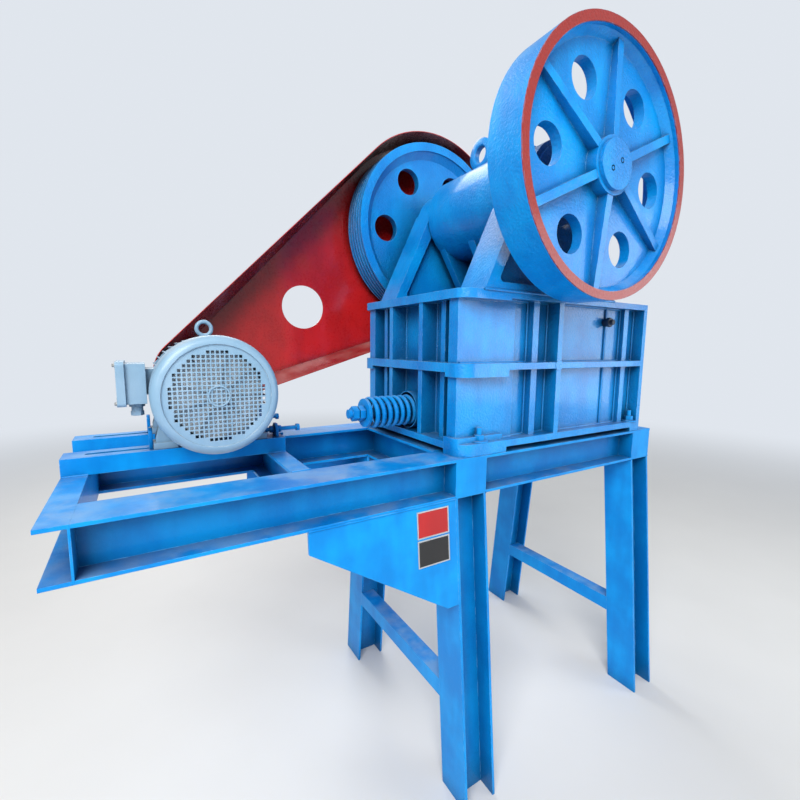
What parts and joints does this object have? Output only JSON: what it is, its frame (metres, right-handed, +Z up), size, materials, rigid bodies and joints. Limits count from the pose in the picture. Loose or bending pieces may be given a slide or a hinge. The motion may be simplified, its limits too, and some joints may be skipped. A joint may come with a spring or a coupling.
{
  "type": "jaw crusher on a beam stand with motor and belt guard",
  "caption": "Jaw crusher with flywheel, grooved drive sheave, ribbed body and open jaw chamber, on a splayed H-beam stand with motor and open belt guard.",
  "frame": {"origin": "middle of the object's outline on the floor", "axes": "+X along the beams from the motor to the crusher's mouth, +Y from the flywheel to the drive sheave, +Z up"},
  "size_m": [2.085, 1.082, 2.478],
  "materials": {
    "blue_paint": "glossy enamel over castings and plate, thin at the edges",
    "motor_paint": "satin pale blue-grey enamel",
    "guard_paint": "glossy dark red enamel on sheet, dusty",
    "jaw_steel": "as-cast manganese steel",
    "machined_steel": "turned",
    "dark_steel": "oiled dark spring and forged steel"
  },
  "bodies": {
    "root": {"near_long_beam": "blue_paint", "far_long_beam": "blue_paint", "left_end_channel": "blue_paint", "middle_cross_channel": "blue_paint", "rear_cross_beam": "blue_paint", "front_cross_beam": "blue_paint", "rear_near_leg": "blue_paint", "rear_far_leg": "blue_paint", "front_near_leg": "blue_paint", "front_far_leg": "blue_paint", "rear_leg_brace": "blue_paint", "front_leg_brace": "blue_paint", "near_gusset": "blue_paint", "far_gusset": "blue_paint", "near_motor_rail": "blue_paint", "far_motor_rail": "blue_paint", "motor_frame": "motor_paint", "fan_cowl": "motor_paint", "motor_end_shield": "motor_paint", "motor_shaft": "machined_steel", "motor_pulley": "motor_paint", "terminal_box": "motor_paint", "lifting_eye": "motor_paint", "near_side_frame": "blue_paint", "far_side_frame": "blue_paint", "rear_frame_wall": "blue_paint", "front_frame_wall": "blue_paint", "near_pedestal": "blue_paint", "far_pedestal": "blue_paint", "fixed_jaw_plate": "jaw_steel", "near_cheek_plate": "jaw_steel", "far_cheek_plate": "jaw_steel", "toggle_plate": "dark_steel", "toggle_block": "blue_paint", "spring_cup": "blue_paint", "belt_guard": "guard_paint", "guard_bracket": "blue_paint"},
    "wheel_shaft": {"eccentric_shaft": "machined_steel", "flywheel": "blue_paint", "flywheel_cap": "blue_paint", "drive_sheave": "blue_paint"},
    "swing_jaw": {"pitman": "blue_paint", "lifting_lug": "blue_paint", "swing_jaw_plate": "jaw_steel"},
    "drawback": {"drawback_rod": "blue_paint", "drawback_spring": "blue_paint"}
  },
  "joints": [
    {"name": "shaft_spin", "type": "hinge", "parent": "root", "child": "wheel_shaft", "pos_m": [0.3905, -0.014, 2.037], "axis": [0, 1, 0], "continuous": true},
    {"name": "jaw_swing", "type": "hinge", "parent": "root", "child": "swing_jaw", "pos_m": [0.3905, -0.014, 2.037], "axis": [0, -1, 0], "range_deg": [0, 1]},
    {"name": "rod_tilt", "type": "hinge", "parent": "swing_jaw", "child": "drawback", "pos_m": [0.6115, -0.014, 1.261], "axis": [0, -1, 0], "range_deg": [-1, 0]}
  ],
  "couplings": [
    {"joint": "rod_tilt", "follows": "jaw_swing", "ratio": -1}
  ]
}
